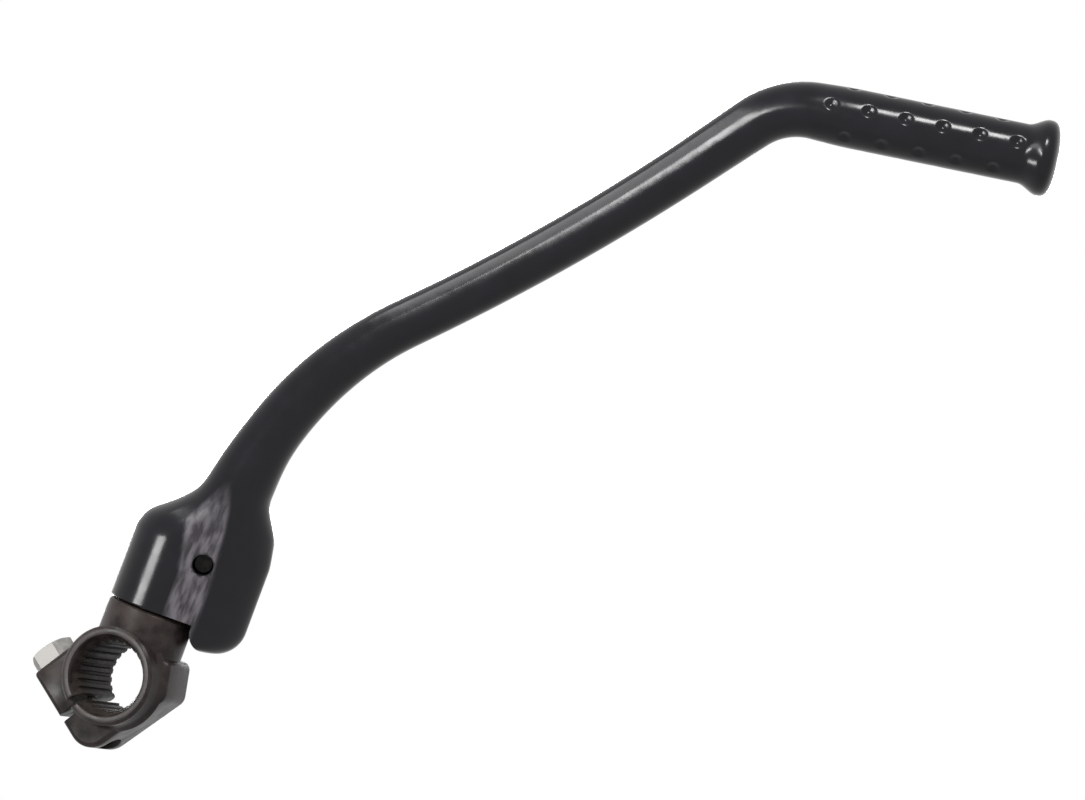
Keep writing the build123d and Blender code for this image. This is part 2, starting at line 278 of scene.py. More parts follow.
# The same enamel thin and dusty on the shaft clamp: warmer, duller, the forged skin showing through
BOSS_ENAMEL = Finish(
    "thin black enamel, brushed on a forged clamp", dark="#1f1a19", light="#342d2b", metallic=0.0,
    roughness=(0.26, 0.36), mottle_mm=4.0, grain_mm=0.7, grain_depth_mm=0.004, peel_mm=3.0,
    peel_depth_mm=0.03, specular=0.16)
# Broached serrations, bare steel under a brown film of old oil that hides the metal: dark and dull
BORE_STEEL = Finish(
    "broached steel, browned with oil", dark="#1d1816", light="#2e2723", metallic=0.0, roughness=(0.45, 0.6),
    mottle_mm=2.0, grain_mm=0.4, grain_depth_mm=0.006, specular=0.25)
# Bright zinc plate on a cold-headed bolt: pale metal with soft, broad reflections
BOLT_ZINC = Finish(
    "bright zinc plate on a cold-headed bolt", dark="#83817e", light="#989693", metallic=1.0,
    roughness=(0.5, 0.6), mottle_mm=1.5, grain_mm=0.3, grain_depth_mm=0.002)
# Hardened ground dowel deep in its hole: near black, a painted shade that stands in for the dark of the
# hole, with a dull sheen
PIN_STEEL = Finish(
    "ground dowel steel, painted dark as the shade of its hole", dark="#1c1b1b", light="#2a2928", metallic=1.0,
    roughness=(0.35, 0.45), mottle_mm=1.2, grain_mm=0.3, grain_depth_mm=0.002)
# Hard-drawn spring wire: drawn bright, a little dull
SPRING_STEEL = Finish(
    "hard-drawn spring wire", dark="#8d8b88", light="#a5a3a0", metallic=1.0, roughness=(0.25, 0.35),
    mottle_mm=0.8, grain_mm=0.3, grain_depth_mm=0.001)
# Ground and polished bearing ball: mirror bright
BALL_STEEL = Finish(
    "ground bearing steel", dark="#c4c4c6", light="#cfcfd1", metallic=1.0, roughness=(0.06, 0.1),
    mottle_mm=1.0, grain_mm=0.3, grain_depth_mm=0.0005)


class SmoothTrack:
    """Values that pass through given stations with no jump in slope or bend between them."""

    def __init__(self, stations: Sequence[float], values: Sequence[Sequence[float]],
                 start_slope: Sequence[float] | None = None,
                 end_slope: Sequence[float] | None = None) -> None:
        """Work out the slope at every station.

        Args:
            stations: rising positions along the track.
            values: one row of values for each station.
            start_slope: slope to leave the first station with, free if not given.
            end_slope: slope to reach the last station with, free if not given.
        """
        self.stations = np.array(stations, float)
        self.values = np.array(values, float)
        steps = np.diff(self.stations)
        climbs = np.diff(self.values, axis=0) / steps[:, None]
        count = len(self.stations)
        system = np.zeros((count, count))
        known = np.zeros_like(self.values)
        for i in range(1, count - 1):
            before, after = 1.0 / steps[i - 1], 1.0 / steps[i]
            system[i, i - 1:i + 2] = before, 2.0 * (before + after), after
            known[i] = 3.0 * (climbs[i - 1] * before + climbs[i] * after)
        for row, inner, slope, climb in ((0, 1, start_slope, climbs[0]), (-1, -2, end_slope, climbs[-1])):
            if slope is None:
                system[row, row], system[row, inner] = 2.0, 1.0
                known[row] = 3.0 * climb
            else:
                system[row, row] = 1.0
                known[row] = slope
        self.slopes = np.linalg.solve(system, known)

    def at(self, station: float) -> np.ndarray:
        """Read the values at one station.

        Args:
            station: position along the track.

        Returns:
            The row of values there.
        """
        i = int(np.clip(np.searchsorted(self.stations, station) - 1, 0, len(self.stations) - 2))
        step = self.stations[i + 1] - self.stations[i]
        t = (station - self.stations[i]) / step
        return ((1 + 2 * t) * (1 - t) ** 2 * self.values[i] + t * (1 - t) ** 2 * step * self.slopes[i]
                + t * t * (3 - 2 * t) * self.values[i + 1] + t * t * (t - 1) * step * self.slopes[i + 1])


@dataclass
class BentPath:
    """Centre line of straight runs joined by tangent arcs, in the arm's own plane."""

    corners: Sequence[tuple[float, float]]
    runs: Sequence[float]
    legs: list[tuple[float, float, float, float, float]] = field(init=False)
    length: float = field(init=False)

    def __post_init__(self) -> None:
        """Lay the runs and arcs end to end as (length, x, z, lean, curvature)."""
        self.legs = []
        pieces: list[tuple[float, float]] = []
        used = 0.0
        for i in range(1, len(self.corners)):
            (x0, z0), (x1, z1) = self.corners[i - 1:i + 1]
            straight = math.hypot(x1 - x0, z1 - z0) - used
            if i == len(self.corners) - 1:
                pieces.append((straight, 0.0))
                break
            turn = self.heading(i) - self.heading(i - 1)
            radius = self.runs[i - 1] / math.tan(abs(turn) / 2)
            pieces.append((straight - self.runs[i - 1], 0.0))
            pieces.append((radius * abs(turn), math.copysign(1 / radius, turn)))
            used = self.runs[i - 1]
        (x, z), lean = self.corners[0], self.heading(0)
        for length, bend in pieces:
            self.legs.append((length, x, z, lean, bend))
            x, z, lean = self.along(self.legs[-1], length)
        self.length = sum(leg[0] for leg in self.legs)

    def heading(self, i: int) -> float:
        """Return the lean from vertical of the run that leaves corner i."""
        (x0, z0), (x1, z1) = self.corners[i:i + 2]
        return math.atan2(x1 - x0, z1 - z0)

    @staticmethod
    def along(leg: tuple[float, float, float, float, float], run: float) -> tuple[float, float, float]:
        """Step along one leg.

        Args:
            leg: (length, x, z, lean, curvature) of the leg.
            run: distance from its start.

        Returns:
            Position x, z and the lean there.
        """
        _, x, z, lean, bend = leg
        if not bend:
            return x + run * math.sin(lean), z + run * math.cos(lean), lean
        turned = lean + bend * run
        return (x + (math.cos(lean) - math.cos(turned)) / bend,
                z + (math.sin(turned) - math.sin(lean)) / bend, turned)

    def at(self, run: float) -> tuple[float, float, float]:
        """Find the point at a distance along the whole path, or straight on past its end.

        Args:
            run: distance from the foot of the path.

        Returns:
            Position x, z and the lean there.
        """
        for leg in self.legs[:-1]:
            if run < leg[0]:
                return self.along(leg, run)
            run -= leg[0]
        return self.along(self.legs[-1], run)


@dataclass
class Ring:
    """One cross-section of the arm: a knuckle outline, a circle, or a blend of the two. Sizes in mm."""

    x: float
    z: float
    half_along: float
    half_across: float
    roundness: float = 1.0
    lean: float = 0.0
    peg_run: float | None = None
    inset: float = 0.0


@dataclass
class KickArm:
    """Forged arm that turns on the boss: knuckle, bent shank and dimpled foot peg. Sizes in mm."""

    turn_deg: float = 24.0
    # How finely the mesh and the traced outline are divided
    segments: int = 144
    foot_rings: int = 6
    knuckle_rings: int = 36
    shoulder_rings: int = 48
    shank_rings: int = 96
    peg_rings: int = 160
    dome_rings: int = 22
    barrel_points: int = 240
    facet_points: int = 40
    cheek_points: int = 300
    # Knuckle: barrel, facet and cheek, the cheek's outline as plan points (x, y)
    barrel_r: float = 10.7
    barrel_foot: float = 18.25
    cheek_foot: float = 12.4
    cheek_clear_r: float = 12.0
    cheek_fixed_x: float = 8.0
    cheek_corner: float = 7.5
    cheek_inner: float = 10.2
    cheek_inner_round: float = 5.0
    foot_round: float = 1.1
    right: float = 22.9
    top: float = 36.0
    facet_start: float = 3.5
    cheek: Sequence[tuple[float, float]] = (
        (10.4, -9.1), (17.6, -5.0), (22.9, 1.4), (17.6, 8.3), (0.0, 10.7))
    # Shoulder: rows of height, left and right side, half depth and roundness
    shoulder_lead_in: float = 4.0
    shoulder: Sequence[tuple[float, ...]] = (
        (38.3, -10.1, 22.6, 10.55, 0.06), (40.6, -8.7, 22.2, 10.25, 0.2), (43.5, -5.3, 21.5, 9.7, 0.42),
        (46.8, -1.8, 19.7, 9.0, 0.66), (50.5, 0.6, 17.8, 8.3, 0.87))
    # Shank: corners (x, z) of the centre line, the run each bend takes up, and radius by share of its length
    corners: Sequence[tuple[float, float]] = ((9.2, 50.5), (13.2, 82.8), (62.4, 133.7), (98.6, 183.9))
    bends: Sequence[float] = (28.4, 39.0, 8.4)
    elbow_to_peg: float = 18.3
    fine_before_peg: float = 12.0
    peg_rise_deg: float = 8.9
    taper: Sequence[tuple[float, float]] = (
        (0.0225, 7.9), (0.08, 6.95), (0.14, 6.62), (0.27, 6.06), (0.37, 5.88), (0.58, 5.86), (0.72, 5.97),
        (0.855, 6.28), (0.93, 6.7), (1.0, 7.2))
    # Peg: distances along it from its start
    peg_r: float = 7.2
    flare_start: float = 40.2
    flange_at: float = 45.2
    flange_r: float = 9.15
    peg_length: float = 48.7
    dome_power: float = 2.83
    dimple_first: float = -6.75
    dimple_pitch: float = 9.02
    dimple_rows: int = 6
    dimples_in_row: tuple[int, int] = (6, 5)
    dimple_row_deg: float = 24.0
    dimple_r: float = 1.9
    dimple_depth: float = 0.62
    # Bores and seats, and the rounding of the edges they leave
    post_r: float = 7.0
    post_clearance: float = 0.05
    bore_top: float = 36.5
    pin_r: float = 2.5
    pin_clearance: float = 0.02
    pin_offset: float = 7.7
    pin_height: float = 32.8
    seat_at: float = 8.6
    seat_r: float = 1.55
    seat_height: float = 17.13
    seat_degs: tuple[float, float] = (156.0, 270.0)
    edge_round: float = 0.35
    hard_edge_deg: float = 38.0
    # Ground flat with its painted sheen: rows of height, left and right edge
    flat_edges: Sequence[tuple[float, float, float]] = (
        (18.0, 2.6, 11.4), (29.0, 2.6, 11.4), (36.0, 1.2, 10.8), (42.0, -0.4, 10.2), (48.0, 3.0, 9.4),
        (54.0, 5.9, 7.4))
    flat_front: float = -6.0
    flat_fade: float = 0.9
    flat_run_out: float = 14.0
    flat_hole_margin: float = 0.2

    def path(self) -> BentPath:
        """Return the centre line from the knuckle to the start of the peg."""
        x, z = self.corners[-1]
        rise = math.radians(self.peg_rise_deg)
        end = (x + self.elbow_to_peg * math.cos(rise), z + self.elbow_to_peg * math.sin(rise))
        return BentPath((*self.corners, end), self.bends)

    def span(self) -> tuple[float, float]:
        """Return the middle of the knuckle along X and half its length."""
        half = (self.right + self.barrel_r) / 2
        return self.right - half, half

    def outline(self) -> Callable[[float], float]:
        """Trace the knuckle's plan outline of barrel, facet and cheek.

        Returns:
            A function from the angle round the outline to its reach, as a share of the half sizes.
        """
        middle, half = self.span()
        start = (self.facet_start, -math.sqrt(self.barrel_r ** 2 - self.facet_start ** 2))
        front = math.atan2(start[1], start[0])
        back = -1.5 * math.pi
        points = [(self.barrel_r * math.cos(a), self.barrel_r * math.sin(a))
                  for a in np.linspace(back, front, self.barrel_points)]
        facet = (self.cheek[0][0] - start[0], self.cheek[0][1] - start[1])
        points += [(start[0] + facet[0] * t, start[1] + facet[1] * t)
                   for t in np.linspace(0, 1, self.facet_points)[1:]]
        chords = np.cumsum([0.0] + [math.dist(a, b) for a, b in zip(self.cheek, self.cheek[1:])])
        cheek = SmoothTrack(chords, self.cheek, end_slope=(-1.0, 0.0))
        points += [tuple(cheek.at(c)) for c in np.linspace(0, chords[-1], self.cheek_points)[1:-1]]
        shares = np.array([((x - middle) / half, y / self.barrel_r) for x, y in points])
        angles = np.arctan2(shares[:, 1], shares[:, 0])
        order = np.argsort(angles)
        reach = np.hypot(shares[:, 0], shares[:, 1])
        return lambda angle: float(np.interp(angle, angles[order], reach[order], period=2 * math.pi))

    def rings(self) -> Iterator[Ring]:
        """Yield the cross-sections from the cheek's foot to the end of the peg."""
        middle, half = self.span()
        for step in np.linspace(0, math.pi / 2, self.foot_rings):
            drop = self.foot_round * (1 - math.sin(step))
            yield Ring(middle, self.cheek_foot + self.foot_round - self.foot_round * math.cos(step), half,
                       self.barrel_r, 0.0, inset=drop)
        for z in np.linspace(self.cheek_foot + self.foot_round, self.top, self.knuckle_rings)[1:]:
            yield Ring(middle, z, half, self.barrel_r, 0.0)
        path = self.path()
        shares, radii = zip(*self.taper)
        radius = SmoothTrack([s * path.length for s in shares], [(r,) for r in radii], end_slope=(0.0,))
        rows = [(self.top - self.shoulder_lead_in, middle, half, self.barrel_r, 0.0, 0.0),
                (self.top, middle, half, self.barrel_r, 0.0, 0.0)]
        rows += [(z, (left + right) / 2, (right - left) / 2, deep, blend, 0.0)
                 for z, left, right, deep, blend in self.shoulder]
        # The shoulder runs on through the first stations of the taper, and hands over at the second
        joins = [s * path.length for s in shares[:3]]
        for run in joins:
            x, z, lean = path.at(run)
            size = float(radius.at(run)[0])
            rows.append((z, x, size, size, 1.0, lean))
        shoulder = SmoothTrack([row[0] for row in rows], [row[1:] for row in rows])
        join_height = path.at(joins[1])[1]
        for z in np.linspace(self.top, join_height, self.shoulder_rings)[1:]:
            x, along, across, blend, lean = shoulder.at(z)
            yield Ring(x, z, along, across, min(max(blend, 0.0), 1.0), lean)
        for run in np.linspace(joins[1], path.length - self.fine_before_peg, self.shank_rings)[1:]:
            x, z, lean = path.at(run)
            size = float(radius.at(run)[0])
            yield Ring(x, z, size, size, 1.0, lean, run - path.length)
        for run in np.linspace(-self.fine_before_peg, self.flange_at, self.peg_rings)[1:]:
            x, z, lean = path.at(path.length + run)
            size = float(radius.at(path.length + run)[0]) if run < 0 else self.peg_radius(run)
            yield Ring(x, z, size, size, 1.0, lean, run)
        dome = self.peg_length - self.flange_at
        for turn in np.linspace(0, math.pi / 2, self.dome_rings)[1:]:
            run = self.flange_at + dome * math.sin(turn) ** (2 / self.dome_power)
            size = self.flange_r * max(math.cos(turn), 0.0) ** (2 / self.dome_power)
            x, z, lean = path.at(path.length + run)
            yield Ring(x, z, size, size, 1.0, lean, run)

    def peg_radius(self, run: float) -> float:
        """Return the peg's radius at a distance from its start."""
        t = min(max((run - self.flare_start) / (self.flange_at - self.flare_start), 0.0), 1.0)
        return self.peg_r + (self.flange_r - self.peg_r) * t * t * (3 - 2 * t)

    def dimple(self, run: float, angle: float) -> float:
        """Find how deep the grip dimples dip at one place on the peg.

        Args:
            run: distance along the peg.
            angle: angle round the ring.

        Returns:
            Depth below the plain surface.
        """
        row_turn = 2 * math.pi / self.dimple_rows
        facing = math.atan2(-math.cos(angle), -math.sin(angle)) - math.radians(self.dimple_row_deg)
        row = round(facing / row_turn)
        aside = self.peg_r * (facing - row * row_turn)
        odd = row % 2
        count = self.dimples_in_row[odd]
        place = (run - self.dimple_first) / self.dimple_pitch - odd / 2
        nearest = min(max(round(place), 0), count - 1)
        reach = math.hypot((place - nearest) * self.dimple_pitch, aside) / self.dimple_r
        return self.dimple_depth * (1 - reach * reach) ** 2 if reach < 1 else 0.0

    def point(self, ring: Ring, angle: float, reach: Callable[[float], float]) -> Vector:
        """Place one vertex of a ring.

        Args:
            ring: the cross-section.
            angle: angle round it.
            reach: knuckle outline.

        Returns:
            Position in the arm's own frame, in mm.
        """
        share = (1 - ring.roundness) * reach(angle) + ring.roundness
        along = ring.half_along * share * math.cos(angle) - ring.inset * math.cos(angle)
        across = ring.half_across * share * math.sin(angle) - ring.inset * math.sin(angle)
        if ring.peg_run is not None:
            dip = self.dimple(ring.peg_run, angle)
            along -= dip * math.cos(angle)
            across -= dip * math.sin(angle)
        below = self.cheek_foot + self.cheek_corner - ring.z
        x = ring.x + along * math.cos(ring.lean)
        fixed = self.cheek_fixed_x
        if below > 0 and x > fixed:
            corner = math.sqrt(max(self.cheek_corner ** 2 - below ** 2, 0.0))
            limit = self.right - self.cheek_corner + corner
            x = fixed + (x - fixed) * (limit - fixed) / (self.right - fixed)
        return Vector((x, across, ring.z - along * math.sin(ring.lean)))

    def build(self) -> bpy.types.Object:
        """Make the arm's mesh: rings drawn out along the path, then bored and edged.

        Returns:
            The finished piece, riding the arm body in place of its frame node.
        """
        reach = self.outline()
        mesh = bmesh.new()
        turn = mesh.verts.layers.float.new("turn")
        circle = bmesh.ops.create_circle(mesh, cap_ends=True, radius=1.0, segments=self.segments)
        ring_verts = circle["verts"]
        for vert in ring_verts:
            vert[turn] = math.atan2(vert.co.y, vert.co.x)
        ring_edges = mesh.edges[:]
        for i, ring in enumerate(self.rings()):
            if i:
                drawn = bmesh.ops.extrude_edge_only(mesh, edges=ring_edges)["geom"]
                ring_verts = [part for part in drawn if isinstance(part, bmesh.types.BMVert)]
                ring_edges = [part for part in drawn if isinstance(part, bmesh.types.BMEdge)]
            for vert in ring_verts:
                vert.co = self.point(ring, vert[turn], reach) * MM
        bmesh.ops.remove_doubles(mesh, verts=ring_verts, dist=END_WELD_MM * MM)
        bmesh.ops.recalc_face_normals(mesh, faces=mesh.faces[:])
        piece = new_piece("arm_forging", mesh)
        cut(piece, self.bores())
        soften(piece, self.edge_round * MM, self.hard_edge_deg, lambda edge: True)
        self.mark_flat(piece)
        piece.data.transform(Matrix.Rotation(math.radians(self.turn_deg), 4, "Z"))
        return dress(piece, Body.ARM, "kick_arm", "arm_paint", ARM_ENAMEL)

    def mark_flat(self, piece: bpy.types.Object) -> None:
        """Write how far each vertex belongs to the ground flat on the front of the knuckle, where a painted
        sheen lies.

        Args:
            piece: the arm, still in its own frame.
        """
        marks = piece.data.attributes.new(KNUCKLE_FLAT_SHEEN.attribute, "FLOAT", "POINT")
        heights, lefts, rights = zip(*self.flat_edges)
        for vert, mark in zip(piece.data.vertices, marks.data):
            x, y, z = vert.co / MM
            from_hole = math.hypot(x - self.pin_offset, z - self.pin_height) - self.pin_r
            if y > self.flat_front or from_hole < self.flat_hole_margin:
                continue
            left, right = np.interp(z, heights, lefts), np.interp(z, heights, rights)
            aside = min(x - left, right - x) / self.flat_fade
            above = (heights[-1] - z) / self.flat_run_out
            mark.value = min(max(aside, 0.0), 1.0) * min(max(above, 0.0), 1.0)

    def bores(self) -> list[bpy.types.Object]:
        """Make the cutters for the neck clearance, the post bore, the pin hole and the two click seats.

        Returns:
            Closed solids in the arm's own frame.
        """
        below = 4.0
        clearance = round_bar("neck_clearance", self.cheek_clear_r, self.barrel_foot - below,
                              segments=160, centre=(0, 0, (self.barrel_foot + below) / 2))
        post = round_bar("post_bore", self.post_r + self.post_clearance, self.bore_top - below,
                         segments=96, centre=(0, 0, (self.bore_top + below) / 2))
        pin = round_bar("pin_hole", self.pin_r + self.pin_clearance, 4 * self.barrel_r,
                        segments=64, centre=(self.pin_offset, 0, self.pin_height), along_y=True)
        seats = []
        for angle in self.seat_degs:
            mesh = bmesh.new()
            bmesh.ops.create_uvsphere(mesh, u_segments=32, v_segments=16, radius=self.seat_r * MM)
            turned = Matrix.Rotation(math.radians(angle), 3, "Z")
            spot = turned @ Vector((self.seat_at, 0, self.seat_height))
            bmesh.ops.translate(mesh, verts=mesh.verts[:], vec=spot * MM)
            seats.append(new_piece("click_seat", mesh))
        return [self.inner_corner(), clearance, post, pin, *seats]

    def inner_corner(self) -> bpy.types.Object:
        """Make the cutter that leaves the barrel short of the cheek and rounds the cheek's inner corner.

        Returns:
            A closed solid in the arm's own frame.
        """
        beyond = 2 * self.barrel_r
        past = 1.0
        centre = (self.cheek_inner + self.cheek_inner_round, self.cheek_foot + self.cheek_inner_round)
        cutter = block("cheek_inner_corner", (-beyond, -beyond, self.cheek_foot - past),
                       (centre[0], beyond, self.barrel_foot))
        corner = round_bar("corner_rounding", self.cheek_inner_round, 4 * beyond, segments=96,
                           centre=(centre[0], 0, centre[1]), along_y=True)
        kept = block("cheek_wall", (self.cheek_inner, -2 * beyond, centre[1]),
                     (centre[0] + past, 2 * beyond, self.barrel_foot + past))
        cut(cutter, [corner, kept])
        return cutter


@dataclass
class ShaftBoss:
    """Split clamp that grips the shaft and carries the fold post. Sizes in mm."""

    edge_round: float = 0.3
    hard_edge_deg: float = 35.0
    keep_sharp_r: float = 9.5

    def build(self, frame_node: bpy.types.Object) -> bpy.types.Object:
        """Make the clamp from a copy of its frame node with the hard edges eased.

        Args:
            frame_node: the node the piece stands in for.

        Returns:
            The finished piece, riding the boss body.
        """
        piece = joined_copy("clamp_forging", frame_node)
        soften(piece, self.edge_round * MM, self.hard_edge_deg, self.outside_bore)
        dress(piece, Body.BOSS, "shaft_boss", "boss_paint", BOSS_ENAMEL)
        piece.data.materials.append(BORE_STEEL.material())
        for face in piece.data.polygons:
            face.material_index = int(math.hypot(face.center.x, face.center.z) < self.keep_sharp_r * MM)
        return piece

    def outside_bore(self, edge: bmesh.types.BMEdge) -> bool:
        """Tell whether an edge lies outside the serrated bore, whose teeth stay crisp."""
        return all(math.hypot(v.co.x, v.co.z) > self.keep_sharp_r * MM for v in edge.verts)


@dataclass
class SmallParts:
    """The pinch bolt and the parts of the fold pivot, carried over from the frame."""

    def build(self, nodes: dict[str, bpy.types.Object]) -> list[bpy.types.Object]:
        """Make and dress each small part.

        Args:
            nodes: the frame's nodes by name.

        Returns:
            The finished pieces.
        """
        parts = (("pinch_bolt", "hex_pinch_bolt", Body.BOSS, "bolt_zinc", BOLT_ZINC),
                 ("retaining_pin", "dowel_pin", Body.ARM, "pin_steel", PIN_STEEL),
                 ("detent_ball", "click_ball", Body.BALL, "ball_steel", BALL_STEEL),
                 ("detent_spring", "click_spring", Body.BOSS, "spring_steel", SPRING_STEEL))
        made = []
        for node, name, body, slot, finish in parts:
            piece = joined_copy(name, nodes[node])
            made.append(dress(piece, body, node, slot, finish))
        return made


def new_piece(name: str, mesh: bmesh.types.BMesh) -> bpy.types.Object:
    """Turn a finished bmesh into a smooth-shaded object at the origin.

    Args:
        name: what a maker would call the piece.
        mesh: the bmesh, freed here.

    Returns:
        The object, linked to the scene.
    """
    for face in mesh.faces:
        face.smooth = True
    data = bpy.data.meshes.new(name)
    mesh.to_mesh(data)
    mesh.free()
    piece = bpy.data.objects.new(name, data)
    bpy.context.scene.collection.objects.link(piece)
    return piece


def joined_copy(name: str, node: bpy.types.Object) -> bpy.types.Object:
    """Copy a frame node's mesh with its loose triangles joined.

    Args:
        name: name of the new piece.
        node: frame node to copy.

    Returns:
        The new piece.
    """
    mesh = bmesh.new()
    mesh.from_mesh(node.data)
    bmesh.ops.remove_doubles(mesh, verts=mesh.verts[:], dist=FRAME_WELD_MM * MM)
    bmesh.ops.recalc_face_normals(mesh, faces=mesh.faces[:])
    mark_sharp(mesh, FRAME_SHARP_DEG)
    return new_piece(name, mesh)


def mark_sharp(mesh: bmesh.types.BMesh, angle_deg: float) -> None:
    """Mark every edge that turns by more than an angle as sharp.

    Args:
        mesh: the bmesh to mark.
        angle_deg: the least turn that stays sharp.
    """
    for edge in mesh.edges:
        edge.smooth = edge.calc_face_angle(0.0) < math.radians(angle_deg)


def round_bar(name: str, radius: float, length: float, segments: int, centre: Sequence[float],
              along_y: bool = False) -> bpy.types.Object:
    """Make a plain round bar along Z or Y.

    Args:
        name: name of the object.
        radius: radius in mm.
        length: length in mm.
        segments: sides round it.
        centre: middle of the bar in mm.
        along_y: whether it lies along Y.

    Returns:
        The bar.
    """
    mesh = bmesh.new()
    bmesh.ops.create_cone(mesh, cap_ends=True, segments=segments, radius1=radius * MM, radius2=radius * MM,
                          depth=length * MM)
    bar = new_piece(name, mesh)
    if along_y:
        bar.data.transform(Matrix.Rotation(math.pi / 2, 4, "X"))
    bar.data.transform(Matrix.Translation([place * MM for place in centre]))
    return bar


def block(name: str, low: Sequence[float], high: Sequence[float]) -> bpy.types.Object:
    """Make a plain block between two corners.

    Args:
        name: name of the object.
        low: lowest corner in mm.
        high: highest corner in mm.

    Returns:
        The block.
    """
    mesh = bmesh.new()
    bmesh.ops.create_cube(mesh, size=1.0)
    low_corner, high_corner = Vector(low) * MM, Vector(high) * MM
    bmesh.ops.scale(mesh, verts=mesh.verts[:], vec=high_corner - low_corner)
    bmesh.ops.translate(mesh, verts=mesh.verts[:], vec=(low_corner + high_corner) / 2)
    return new_piece(name, mesh)


def cut(piece: bpy.types.Object, cutters: Sequence[bpy.types.Object]) -> None:
    """Cut solids out of a piece and clear the cutters away.

    Args:
        piece: the piece to cut.
        cutters: closed solids in the same place.
    """
    for cutter in cutters:
        modifier = piece.modifiers.new(cutter.name, "BOOLEAN")
        modifier.operation = "DIFFERENCE"
        modifier.solver = "EXACT"
        modifier.object = cutter
    shaped = bpy.data.meshes.new_from_object(piece.evaluated_get(bpy.context.evaluated_depsgraph_get()))
    piece.modifiers.clear()
    old = piece.data
    piece.data = shaped
    bpy.data.meshes.remove(old)
    for cutter in cutters:
        bpy.data.meshes.remove(cutter.data)


def soften(piece: bpy.types.Object, size: float, angle_deg: float,
           wanted: Callable[[bmesh.types.BMEdge], bool]) -> None:
    """Round off the hard edges of a piece.

    Args:
        piece: the piece to work on.
        size: width of the rounding in metres.
        angle_deg: the least turn that counts as a hard edge.
        wanted: picks the edges that may be rounded.
    """
    mesh = bmesh.new()
    mesh.from_mesh(piece.data)
    bmesh.ops.remove_doubles(mesh, verts=mesh.verts[:], dist=CUT_WELD_MM * MM)
    hard = [edge for edge in mesh.edges
            if edge.calc_face_angle(0.0) > math.radians(angle_deg) and wanted(edge)]
    bmesh.ops.bevel(mesh, geom=hard, offset=size, segments=2, profile=0.5, affect="EDGES", material=-1,
                    clamp_overlap=True)
    bmesh.ops.recalc_face_normals(mesh, faces=mesh.faces[:])
    mark_sharp(mesh, ROUNDED_SHARP_DEG)
    for face in mesh.faces:
        face.smooth = True
    mesh.to_mesh(piece.data)
    mesh.free()


def dress(piece: bpy.types.Object, body: Body, node: str, slot: str, finish: Finish) -> bpy.types.Object:
    """Give a piece its finish and its place in the frame.

    Args:
        piece: the piece.
        body: body it moves with.
        node: frame node it stands in for.
        slot: not used.
        finish: its surface.

    Returns:
        The same piece.
    """
    piece.data.materials.clear()
    piece.data.materials.append(finish.material())
    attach(piece, body.value)
    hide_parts(node)
    LOG.info("%s: %d faces", piece.name, len(piece.data.polygons))
    return piece


@dataclass
class PictureCamera:
    """Long-lens camera at the picture's angle, rolled as the picture is. Distances in mm."""

    width: int = 1085
    height: int = 800
    pixels_per_mm: float = 4.18
    origin_at: tuple[float, float] = (127.0, 678.2)
    azimuth_deg: float = 24.0
    elevation_deg: float = 5.0
    roll_deg: float = 20.5
    distance: float = 4000.0
    sensor: float = 36.0

    def axes(self) -> Matrix:
        """Return the camera's right, up and back axes as the columns of a matrix."""
        az, el, roll = (math.radians(a) for a in (self.azimuth_deg, self.elevation_deg, self.roll_deg))
        level = Vector((math.cos(az), math.sin(az), 0))
        back = Vector((math.sin(az) * math.cos(el), -math.cos(az) * math.cos(el), math.sin(el)))
        rise = back.cross(level)
        right = level * math.cos(roll) + rise * math.sin(roll)
        return Matrix((right, back.cross(right), back)).transposed()

    def build(self) -> None:
        """Place the camera and make it the scene's own."""
        data = bpy.data.cameras.new("picture camera")
        data.sensor_width = self.sensor
        data.lens = self.pixels_per_mm * self.distance / self.width * self.sensor
        data.clip_end = 3 * self.distance * MM
        camera = bpy.data.objects.new("picture camera", data)
        bpy.context.scene.collection.objects.link(camera)
        axes = self.axes()
        aside = (self.width / 2 - self.origin_at[0]) / self.pixels_per_mm
        above = (self.origin_at[1] - self.height / 2) / self.pixels_per_mm
        spot = axes @ Vector((aside, above, self.distance))
        camera.matrix_world = Matrix.Translation(spot * MM) @ axes.to_4x4()
        bpy.context.scene.camera = camera


@dataclass
class SoftBox:
    """One studio soft box and the place it is aimed at, set out as seen from the camera. Lengths in metres.

    The clock angle runs anticlockwise round the picture from its right, the off-axis angle away from the
    camera. Width runs round the clock, height away from the camera, and the level is a share of plain white.
    """

    name: str
    clock_deg: float
    off_axis_deg: float
    size_deg: tuple[float, float]
    level: float
    aim: tuple[float, float, float]
    distance: float = 0.35

    def build(self, camera_axes: Matrix) -> None:
        """Hang the lamp.

        Args:
            camera_axes: the camera's right, up and back axes.
        """
        wide, tall = (2 * self.distance * math.tan(math.radians(a) / 2) for a in self.size_deg)
        data = bpy.data.lights.new(self.name, "AREA")
        data.shape = "RECTANGLE"
        data.size, data.size_y = wide, tall
        data.energy = self.level * math.pi * wide * tall
        lamp = bpy.data.objects.new(self.name, data)
        clock, off = math.radians(self.clock_deg), math.radians(self.off_axis_deg)
        way = Vector((math.cos(clock) * math.sin(off), math.sin(clock) * math.sin(off), math.cos(off)))
        across = Vector((math.sin(clock), -math.cos(clock), 0))
        turned = camera_axes @ Matrix((across, way.cross(across), way)).transposed()
        lamp.matrix_world = (Matrix.Translation(Vector(self.aim) + camera_axes @ way * self.distance)
                             @ turned.to_4x4())
        bpy.context.scene.collection.objects.link(lamp)


# Places on the lever that the soft boxes are aimed at, in metres
UPPER_SHANK = (0.088, 0.039, 0.179)
SHANK_TOP = (0.095, 0.042, 0.184)
PEG = (0.133, 0.059, 0.191)
KNUCKLE = (0.0, -0.011, 0.028)
MIDDLE = (0.045, 0.02, 0.09)


